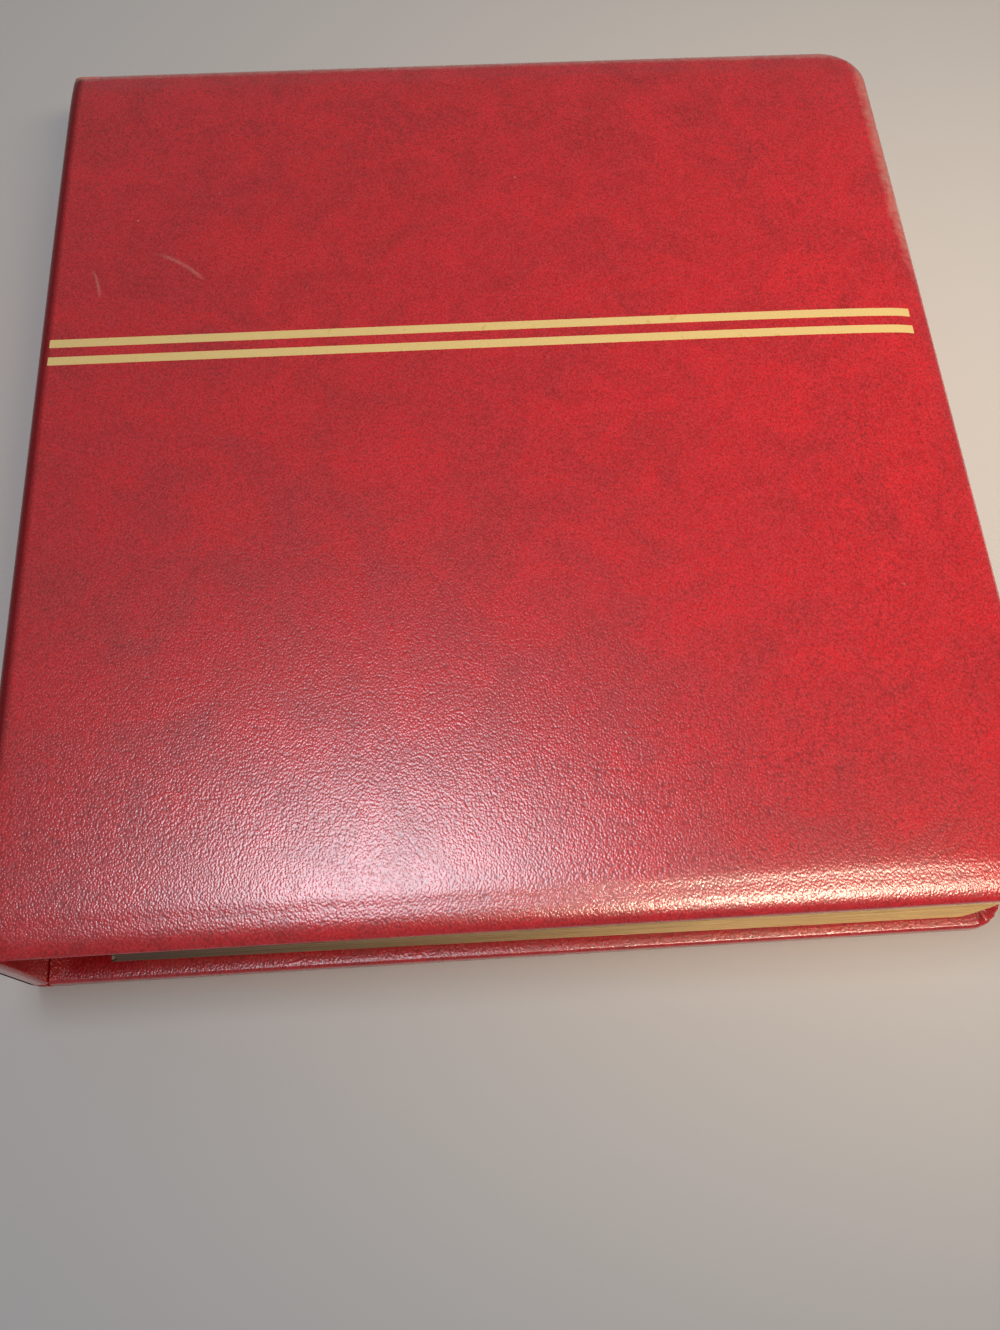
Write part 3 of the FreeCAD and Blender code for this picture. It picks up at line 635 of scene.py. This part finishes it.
# %% Leatherette
CLOUD, VEIN, PEBBLE = 18, 2.4, 0.54
VEIN_WIDTH = 0.07
leatherette, tree, shader = finish("embossed_pvc_leatherette", **{"IOR": 1.52, "Coat Roughness": 0.18})
place = add(tree, "TexCoord").outputs["Object"]
apart = add(tree, "SeparateXYZ", {"Vector": place}).outputs
cloud = add(tree, "TexNoise", {"Vector": place, "Scale": per_metre(CLOUD), "Detail": 6, "Roughness": 0.62,
                               "Distortion": 0.8})
vein = add(tree, "TexNoise", {"Vector": place, "Scale": per_metre(VEIN), "Detail": 4, "Roughness": 0.55,
                              "Distortion": 1.5})
drawn = add(tree, "Mapping", {"Vector": place, "Rotation": (0, 0, 0.6), "Scale": (1.12, 0.88, 1)})
pebble = add(tree, "TexVoronoi", {"Vector": drawn, "Scale": per_metre(PEBBLE)}, feature="SMOOTH_F1")
tones = add(tree, "ValToRGB", {"Fac": cloud}, stops=((0.34, "#C6111A"), (0.64, "#EA1823")))
ridge = add(tree, "Math", {0: vein, 1: 0.5}, operation="SUBTRACT")
ridge = add(tree, "Math", {0: ridge}, operation="ABSOLUTE")
ridge = add(tree, "MapRange", {"Value": ridge, "From Max": VEIN_WIDTH, "To Min": 0.6, "To Max": 0})
veined = add(tree, "Mix", {"Factor": ridge, "A": tones, "B": colour("#EA3C45")}, data_type="RGBA")
dip = add(tree, "MapRange", {"Value": pebble, "From Min": 0.25, "From Max": 0.75, "To Max": 0.62})
shaded = add(tree, "Mix", {"Factor": dip, "A": veined, "B": colour("#6E050C")}, data_type="RGBA")
print("clouds of", CLOUD, "mm, veins of", VEIN, "mm, pebbles of", PEBBLE, "mm")

# %% [markdown]
# Handling has left marks on the front. The print is rubbed pale along the head edge and along the upper
# part of the fore edge and of the fold at the spine; the pale band at the fore edge is partly wear and
# partly a painted highlight on the roll. The fold itself is dull, and darkened with painted shade, as it
# faces away from the light. There are two short curved scratches and a few specks. Each mark is a mask
# worked out from the place on the cover, so it stays where it is from every side.

# %% Rubbed edges of the leatherette, with a painted highlight on the fore edge
RUB_FROM_HEAD, RUB_AND_HIGHLIGHT_FROM_FORE, RUB_FULL = 6.5 * MM, 7.5 * MM, 2 * MM
RUB_FROM_FOLD, RUB_AT_FOLD = 0.9 * MM, 0.2 * MM
UPPER_FROM, UPPER_FULL = 20 * MM, 70 * MM
FRONT_FROM, FRONT_FULL = TOP - 6 * MM, TOP - 4 * MM
FIBRE, SPECKS_APART = 3, 34
upper_part = add(tree, "MapRange", {"Value": apart["Y"], "From Min": UPPER_FROM, "From Max": UPPER_FULL})
on_front = add(tree, "MapRange", {"Value": apart["Z"], "From Min": FRONT_FROM, "From Max": FRONT_FULL})
head_rub = add(tree, "MapRange", {"Value": apart["Y"], "From Min": HALF - RUB_FROM_HEAD,
                                  "From Max": HALF - RUB_FULL})
# Along the upper fore edge the pale is partly wear and partly a painted highlight on the roll.
fore_rub_and_highlight = add(tree, "MapRange", {"Value": apart["X"], "From Min": FORE_X - RUB_AND_HIGHLIGHT_FROM_FORE,
                                  "From Max": FORE_X - RUB_FULL})
fore_rub_and_highlight = add(tree, "Math", {0: fore_rub_and_highlight, 1: upper_part}, operation="MULTIPLY")
fold_rub = add(tree, "MapRange", {"Value": apart["X"], "From Min": SPINE_X + RUB_FROM_FOLD,
                                  "From Max": SPINE_X + RUB_AT_FOLD})
fold_rub = add(tree, "Math", {0: fold_rub, 1: upper_part}, operation="MULTIPLY")
fold_rub = add(tree, "Math", {0: fold_rub, 1: on_front}, operation="MULTIPLY")
rub_and_highlight = add(tree, "Math", {0: head_rub, 1: fore_rub_and_highlight}, operation="MAXIMUM")
rub_and_highlight = add(tree, "Math", {0: rub_and_highlight, 1: fold_rub}, operation="MAXIMUM")
fibre = add(tree, "TexNoise", {"Vector": place, "Scale": per_metre(FIBRE), "Detail": 6, "Roughness": 0.75})
worn_and_highlight = add(tree, "Math", {0: rub_and_highlight, 1: fibre}, operation="MULTIPLY")
worn_and_highlight = add(tree, "MapRange", {"Value": worn_and_highlight, "From Min": 0.22, "From Max": 0.58, "To Max": 0.7})
speck = add(tree, "TexVoronoi", {"Vector": place, "Scale": per_metre(SPECKS_APART)})
speck = add(tree, "MapRange", {"Value": speck, "From Min": 0.012, "From Max": 0.007, "To Max": 0.7})
worn_and_highlight = add(tree, "Math", {0: worn_and_highlight, 1: speck}, operation="MAXIMUM")
print("rubbed", round(RUB_FROM_HEAD / MM, 1), "mm in from the head,", round(RUB_AND_HIGHLIGHT_FROM_FORE / MM, 1),
      "mm in from the fore edge")

# %% Scratches and the painted shade of the fold
# A scratch is given by its circle's centre and radius, its width, and its lower and upper end, in metres.
SCRATCHES = (((-0.1173, 0.0270, TOP), 0.0409, 0.0009, 0.0530, 0.0645),
             ((-0.1516, 0.0442, TOP), 0.0351, 0.0006, 0.0475, 0.0590))
FOLD_SHADE_FROM, FOLD_SHADE_FULL = 4.4 * MM, 2.6 * MM


def scratch(centre, radius, width, low, high):
    """A mask for a pale scratch: a stretch of a circle, between two heights."""
    line = add(tree, "VectorMath", {0: place, 1: centre}, operation="DISTANCE")
    line = add(tree, "Math", {0: line, 1: radius}, operation="SUBTRACT")
    line = add(tree, "Math", {0: line}, operation="ABSOLUTE")
    line = add(tree, "MapRange", {"Value": line, "From Min": width, "From Max": 0.2 * width, "To Max": 0.6})
    half = (high - low) / 2
    inside = add(tree, "Math", {0: apart["Y"], 1: low + half}, operation="SUBTRACT")
    inside = add(tree, "Math", {0: inside}, operation="ABSOLUTE")
    inside = add(tree, "MapRange", {"Value": inside, "From Min": half, "From Max": 0.6 * half})
    for mask in (inside, on_front, fibre):
        line = add(tree, "Math", {0: line, 1: mask}, operation="MULTIPLY")
    return line


for mark in SCRATCHES:
    worn_and_highlight = add(tree, "Math", {0: worn_and_highlight, 1: scratch(*mark)}, operation="MAXIMUM")
# Painted shade: the fold faces away from the light, so its colour is darkened; the same mask dulls the coat
# and shine.
fold = add(tree, "MapRange", {"Value": apart["X"], "From Min": SPINE_X + FOLD_SHADE_FROM,
                              "From Max": SPINE_X + FOLD_SHADE_FULL, "To Max": 0.85})
fold = add(tree, "Math", {0: fold, 1: on_front}, operation="MULTIPLY")
fold_shaded = add(tree, "Mix", {"Factor": fold, "A": shaded, "B": colour("#62040A")}, data_type="RGBA")
skin_colour = add(tree, "Mix", {"Factor": worn_and_highlight, "A": fold_shaded, "B": colour("#E29C8C")}, data_type="RGBA")
print(len(SCRATCHES), "scratches, and a fold", round(FOLD_SHADE_FROM / MM, 1), "mm wide")

# %% Shine and grain of the leatherette
coat = add(tree, "MapRange", {"Value": fold, "To Min": 0.95, "To Max": 0.1})
shine = add(tree, "MapRange", {"Value": fold, "To Min": 0.95, "To Max": 0.2})
satin = add(tree, "MapRange", {"Value": cloud, "From Min": 0.3, "From Max": 0.7, "To Min": 0.31,
                               "To Max": 0.25})
crush = add(tree, "Bump", {"Strength": 0.06, "Distance": 0.15 * MM, "Height": vein})
grain = add(tree, "Bump", {"Strength": 0.55, "Distance": 0.12 * MM, "Height": pebble, "Normal": crush},
            invert=True)
join(tree, shader, {"Base Color": skin_colour, "Coat Weight": coat, "Specular IOR Level": shine,
                    "Roughness": satin, "Normal": grain, "Coat Normal": grain})
for piece in (front_pad, back_wrap, spine_wrap, front_crease, back_crease):
    piece.data.materials.clear()
    piece.data.materials.append(leatherette)
print("leatherette with", len(tree.nodes), "nodes")

# %% [markdown]
# ### Gold foil and gilt edges
# The rules are hot-stamped foil: bright, pale gold that takes the grain beneath it and is a little darker
# where it has worn. It is only partly metallic here, so that it stays bright where there is nothing bright
# to mirror, and its grain is drawn coarser than the leatherette's, to show. The leaf edges are gilt: the
# same colour, duller, with long streaks along each sheet. Towards the rings the gilding is darkened, partly
# as soil and partly as painted shade of the gap at the rings.

# %% Gold foil
FOIL_WEAR, FOIL_GRAIN = 5, 1.25
foil, tree, shader = finish("hot_stamped_gold_foil", Metallic=0.2)
place = add(tree, "TexCoord").outputs["Object"]
wear = add(tree, "TexNoise", {"Vector": place, "Scale": per_metre(FOIL_WEAR), "Detail": 6,
                              "Roughness": 0.7})
gold = add(tree, "ValToRGB", {"Fac": wear}, stops=((0.24, "#D9AE58"), (0.4, "#FFE296")))
gloss = add(tree, "MapRange", {"Value": wear, "From Min": 0.3, "From Max": 0.7, "To Min": 0.5,
                               "To Max": 0.38})
pebble = add(tree, "TexVoronoi", {"Vector": place, "Scale": per_metre(FOIL_GRAIN)}, feature="SMOOTH_F1")
grain = add(tree, "Bump", {"Strength": 0.4, "Distance": 0.15 * MM, "Height": pebble}, invert=True)
join(tree, shader, {"Base Color": gold, "Roughness": gloss, "Normal": grain})
for rule in rules:
    rule.data.materials.clear()
    rule.data.materials.append(foil)
print("foil on", [rule.name for rule in rules])

# %% Gilt edges
# Painted shade: this soil colour also stands for the shade over the gap at the rings.
SOIL_AND_SHADE = "#44291A"
SOIL_AND_SHADE_FROM, SOIL_AND_SHADE_FULL = 50 * MM, -95 * MM
STREAK = 1.6


def soiled_and_shaded(tree, along_x, gilding):
    """A gilding colour darkened more and more towards the rings, partly soil and partly painted shade."""
    share = add(tree, "MapRange", {"Value": along_x, "From Min": SOIL_AND_SHADE_FROM, "From Max": SOIL_AND_SHADE_FULL,
                                   "To Max": 0.9})
    return add(tree, "Mix", {"Factor": share, "A": gilding, "B": colour(SOIL_AND_SHADE)}, data_type="RGBA")


gilt, tree, shader = finish("gilt_card_edge", **{"Metallic": 0.55, "Specular IOR Level": 0.15})
place = add(tree, "TexCoord").outputs["Object"]
apart = add(tree, "SeparateXYZ", {"Vector": place}).outputs
drawn = add(tree, "Mapping", {"Vector": place, "Scale": (0.02, 0.02, 1)})
streak = add(tree, "TexNoise", {"Vector": drawn, "Scale": per_metre(STREAK), "Detail": 5, "Roughness": 0.7})
gilding = add(tree, "ValToRGB", {"Fac": streak}, stops=((0.4, "#AE7A3C"), (0.56, "#FFE4A6")))
dull = add(tree, "MapRange", {"Value": streak, "To Min": 0.6, "To Max": 0.35})
join(tree, shader, {"Base Color": soiled_and_shaded(tree, apart["X"], gilding), "Roughness": dull})
print("gilt with", len(tree.nodes), "nodes")

# %% [markdown]
# ### Album card
# The leaves are heavy cream card with a felt-marked surface, printed with a double frame and faint
# squares, as album leaves are, so that stamps can be set straight. The print is made of distances from the
# frame's outline and from the squares' lines, which are drawn a little coarse, to show. At head and tail
# the gilding has crept a hair over the rim of the card.

# %% Album card
FRAME_MIDDLE = 17 * MM
FRAME_HALF = (101 * MM, 134 * MM)
SQUARE = 5 * MM
SQUARE_LINE, SQUARE_CORE = 0.2 * MM, 0.1 * MM
SQUARES_FROM, SQUARES_FULL = -3.5 * MM, -4 * MM
AGE = 60
card, tree, shader = finish("felt_marked_album_card", Roughness=0.85, IOR=1.45)
place = add(tree, "TexCoord").outputs["Object"]
apart = add(tree, "SeparateXYZ", {"Vector": place}).outputs
age = add(tree, "TexNoise", {"Vector": place, "Scale": per_metre(AGE), "Detail": 4, "Roughness": 0.6})
tones = add(tree, "ValToRGB", {"Fac": age}, stops=((0.3, "#E6D9B8"), (0.7, "#F3EAD2")))
across = add(tree, "Math", {0: apart["X"], 1: FRAME_MIDDLE}, operation="SUBTRACT")
across = add(tree, "Math", {0: across}, operation="ABSOLUTE")
across = add(tree, "Math", {0: across, 1: FRAME_HALF[0]}, operation="SUBTRACT")
from_middle = add(tree, "Math", {0: apart["Y"]}, operation="ABSOLUTE")
along = add(tree, "Math", {0: from_middle, 1: FRAME_HALF[1]}, operation="SUBTRACT")
outside = add(tree, "Math", {0: across, 1: along}, operation="MAXIMUM")


def printed_line(at, half_width, strength):
    """A mask for a line of the printed frame, at a distance inside its outline."""
    gap = add(tree, "Math", {0: outside, 1: at}, operation="ADD")
    gap = add(tree, "Math", {0: gap}, operation="ABSOLUTE")
    return add(tree, "MapRange", {"Value": gap, "From Min": half_width, "From Max": 0.6 * half_width,
                                  "To Max": strength})


thick_line = printed_line(0, 0.5 * MM, 0.75)
thin_line = printed_line(2 * MM, 0.28 * MM, 0.6)
square_x = add(tree, "Math", {0: apart["X"], 1: SQUARE / 2}, operation="PINGPONG")
square_y = add(tree, "Math", {0: apart["Y"], 1: SQUARE / 2}, operation="PINGPONG")
square = add(tree, "Math", {0: square_x, 1: square_y}, operation="MINIMUM")
square = add(tree, "MapRange", {"Value": square, "From Min": SQUARE_LINE, "From Max": SQUARE_CORE,
                                "To Max": 0.3})
inside = add(tree, "MapRange", {"Value": outside, "From Min": SQUARES_FROM, "From Max": SQUARES_FULL})
square = add(tree, "Math", {0: square, 1: inside}, operation="MULTIPLY")
ink = add(tree, "Math", {0: thick_line, 1: thin_line}, operation="MAXIMUM")
ink = add(tree, "Math", {0: ink, 1: square}, operation="MAXIMUM")
page = add(tree, "Mix", {"Factor": ink, "A": tones, "B": colour("#8A7656")}, data_type="RGBA")
print("frame", [round(2 * half / MM) for half in FRAME_HALF], "mm, squares of", round(SQUARE / MM), "mm")

# %% Gilded rim of the card
LEAF_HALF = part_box("leaf_01")[1].y
GILT_CREEP = 0.45 * MM
FELT = 1.6
HEAD_BAND, FORE_BAND = 6 * MM, 12 * MM
EDGE_ON = 0.5
rim = add(tree, "MapRange", {"Value": from_middle, "From Min": LEAF_HALF - GILT_CREEP,
                             "From Max": LEAF_HALF - 0.8 * GILT_CREEP})
# The crept gilding takes the same soil and painted shade towards the rings.
crept = soiled_and_shaded(tree, apart["X"], colour("#FFE0A0"))
page = add(tree, "Mix", {"Factor": rim, "A": page, "B": crept}, data_type="RGBA")
felt = add(tree, "TexNoise", {"Vector": place, "Scale": per_metre(FELT), "Detail": 6, "Roughness": 0.7})
tooth = add(tree, "Bump", {"Strength": 0.3, "Distance": 0.05 * MM, "Height": felt})
join(tree, shader, {"Base Color": page, "Normal": tooth})
for leaf in leaves:
    leaf.data.materials.append(card)
    leaf.data.materials.append(gilt)
    for face in leaf.data.polygons:
        on_rim = abs(face.center.y) > HALF - HEAD_BAND or face.center.x > FORE_X - FORE_BAND
        face.material_index = 1 if abs(face.normal.z) < EDGE_ON and on_rim else 0
print("card with", len(tree.nodes), "nodes on", len(leaves), "leaves")

# %% [markdown]
# ### Lining paper, board and foam
# The linings are dark red paper with a slight tooth. Under them are grey board, which is pressed pulp with
# flecks, and open-cell foam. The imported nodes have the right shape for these, so each only gets a finish.

# %% Lining paper, board and foam
def dress(material, *names):
    """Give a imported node's own object a finish."""
    for name in names:
        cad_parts[name].material_slots[0].material = material


TOOTH, FLECK, BUBBLE = 2.2, 1.5, 0.9
lining, tree, shader = finish("dark_red_lining_paper", Roughness=0.8, IOR=1.45)
place = add(tree, "TexCoord").outputs["Object"]
felt = add(tree, "TexNoise", {"Vector": place, "Scale": per_metre(TOOTH), "Detail": 7, "Roughness": 0.7})
tones = add(tree, "ValToRGB", {"Fac": felt}, stops=((0.3, "#5C1219"), (0.7, "#74202A")))
tooth = add(tree, "Bump", {"Strength": 0.35, "Distance": 0.06 * MM, "Height": felt})
join(tree, shader, {"Base Color": tones, "Normal": tooth})
dress(lining, "front_liner", "back_liner", "spine_liner")

board, tree, shader = finish("grey_board", Roughness=0.9)
place = add(tree, "TexCoord").outputs["Object"]
fleck = add(tree, "TexNoise", {"Vector": place, "Scale": per_metre(FLECK), "Detail": 8})
tones = add(tree, "ValToRGB", {"Fac": fleck}, stops=((0, "#6B6255"), (1, "#9A9184")))
join(tree, shader, {"Base Color": tones})
dress(board, "front_board", "back_board", "spine_board")

foam, tree, shader = finish("open_cell_foam", Roughness=0.95)
place = add(tree, "TexCoord").outputs["Object"]
bubble = add(tree, "TexVoronoi", {"Vector": place, "Scale": per_metre(BUBBLE)})
tones = add(tree, "ValToRGB", {"Fac": bubble}, stops=((0, "#C9BE9E"), (1, "#E8E0C8")))
join(tree, shader, {"Base Color": tones})
dress(foam, "front_foam")
print("paper, board and foam:", lining.name, board.name, foam.name)

# %% [markdown]
# ### Metals
# The rings, their plate and the levers are nickel-plated steel, bright and a little warm. The blades under
# the plate are rolled spring steel, greyer and duller. Noise drawn out in one direction gives both the
# faint marks of drawing and rolling, so one function makes both.

# %% Metals
DRAWN_MARK = 0.7


def plated(name, dark, light, roughness):
    """Plated or rolled steel with faint drawn marks."""
    made, tree, shader = finish(name, Metallic=1.0)
    place = add(tree, "TexCoord").outputs["Object"]
    drawn = add(tree, "Mapping", {"Vector": place, "Scale": (1, 0.12, 1)})
    marks = add(tree, "TexNoise", {"Vector": drawn, "Scale": per_metre(DRAWN_MARK), "Detail": 5,
                                   "Roughness": 0.65})
    tones = add(tree, "ValToRGB", {"Fac": marks}, stops=((0.3, dark), (0.7, light)))
    gloss = add(tree, "MapRange", {"Value": marks, "From Min": 0.3, "From Max": 0.7,
                                   "To Min": roughness * 1.4, "To Max": roughness * 0.8})
    join(tree, shader, {"Base Color": tones, "Roughness": gloss})
    return made


nickel = plated("bright_nickel_plate", "#B5B0A4", "#DAD6CC", 0.18)
steel = plated("rolled_spring_steel", "#7E7E7C", "#A9A9A6", 0.34)
dress(nickel, "ring_plate", "upper_rings", "lower_rings", "tail_lever", "head_lever", "plate_rivets")
dress(steel, "upper_blade", "lower_blade", "lever_pins")
print("metals:", nickel.name, steel.name)

# %% [markdown]
# ### Clear mounts
# Each mount is a sheet of clear film, welded at its edges and in level lines that make pockets for the
# stamps. The film is mostly see-through with a smooth shine, and the welds are whiter. Alpha gives that,
# because so thin a film bends light too little for it to show.

# %% Film
POCKETS = 5
WELD, WELD_CORE = 1.1 * MM, 0.8 * MM
SIDE_WELD, SIDE_CORE = 1.8 * MM, 1.5 * MM
RIPPLE = 25
film, tree, shader = finish("clear_film_mount", Roughness=0.12, IOR=1.5)
place = add(tree, "TexCoord").outputs["Object"]
apart = add(tree, "SeparateXYZ", {"Vector": place}).outputs
level = add(tree, "Math", {0: apart["Y"], 1: MOUNT_HIGH.y}, operation="SUBTRACT")
level = add(tree, "Math", {0: level, 1: MOUNT_HIGH.y / POCKETS}, operation="PINGPONG")
level = add(tree, "MapRange", {"Value": level, "From Min": WELD, "From Max": WELD_CORE})
half_wide = (MOUNT_HIGH.x - MOUNT_LOW.x) / 2
side = add(tree, "Math", {0: apart["X"], 1: (MOUNT_LOW.x + MOUNT_HIGH.x) / 2}, operation="SUBTRACT")
side = add(tree, "Math", {0: side}, operation="ABSOLUTE")
side = add(tree, "MapRange", {"Value": side, "From Min": half_wide - SIDE_WELD,
                              "From Max": half_wide - SIDE_CORE})
weld = add(tree, "Math", {0: level, 1: side}, operation="MAXIMUM")
tones = add(tree, "Mix", {"Factor": weld, "A": colour("#EDEDE8"), "B": colour("#F6F6F2")}, data_type="RGBA")
haze = add(tree, "MapRange", {"Value": weld, "To Min": 0.1, "To Max": 0.7})
ripple = add(tree, "TexNoise", {"Vector": place, "Scale": per_metre(RIPPLE), "Detail": 2})
pull = add(tree, "Bump", {"Strength": 0.2, "Distance": 0.3 * MM, "Height": ripple})
join(tree, shader, {"Base Color": tones, "Alpha": haze, "Normal": pull})
dress(film, "front_mounts", "back_mounts")
print("finishes", [made.name for made in bpy.data.materials if made.users])

# %% [markdown]
# ## Floor and light
# The album lies on a plain pale floor. A soft lamp overhead gives the broad sheen on the lower middle of
# the cover. A warmer lamp with a grid, at the front right, lights the fore edge most, and the world fills
# the rest.

# %% Floor
FLOOR_SIZE = 6
FLOOR_LEVEL = -0.2 * MM
free()
bpy.ops.mesh.primitive_plane_add(size=FLOOR_SIZE, location=(0, 0, FLOOR_LEVEL))
floor = bpy.context.object
floor.name = "floor"
pale, tree, shader = finish("pale_floor", Roughness=0.6)
shader.inputs["Base Color"].default_value = colour("#D6D4CF")
floor.data.materials.append(pale)
print("floor", FLOOR_SIZE, "m wide")


# %% Lamps
def soft_lamp(name, spot, aim, size, power, tint, spread):
    """A rectangular lamp that points at a place; a grid narrows its spread, which is in degrees."""
    lamp = bpy.data.objects.new(name, bpy.data.lights.new(name, "AREA"))
    bpy.context.scene.collection.objects.link(lamp)
    lamp.data.shape = "RECTANGLE"
    lamp.data.size, lamp.data.size_y = size
    lamp.data.energy = power
    lamp.data.spread = math.radians(spread)
    lamp.data.color = colour(tint)[:3]
    lamp.visible_camera = False
    lamp.location = spot
    lamp.rotation_mode = "QUATERNION"
    lamp.rotation_quaternion = (Vector(aim) - Vector(spot)).to_track_quat("-Z", "Y")
    return lamp


lamps = (soft_lamp("overhead_lamp", spot=(-0.13, -0.05, 1.25), aim=(-0.02, -0.06, 0.04), size=(0.5, 0.32),
                   power=4.6, tint="#F2F4FF", spread=180),
         soft_lamp("right_lamp", spot=(0.28, -0.27, 0.56), aim=(0.2, 0.05, 0.04), size=(0.34, 0.06),
                   power=0.53, tint="#FFE6CA", spread=70))
print("lamps", [(lamp.name, round(lamp.data.energy, 2)) for lamp in lamps])

# %% World
FILL = 0.18
world = bpy.data.worlds.new("soft_room")
bpy.context.scene.world = world
world.use_nodes = True
background = world.node_tree.nodes["Background"]
background.inputs["Color"].default_value = colour("#F2F2F4")
background.inputs["Strength"].default_value = FILL
bpy.context.scene.view_settings.view_transform = "Standard"
print("world fill", FILL)
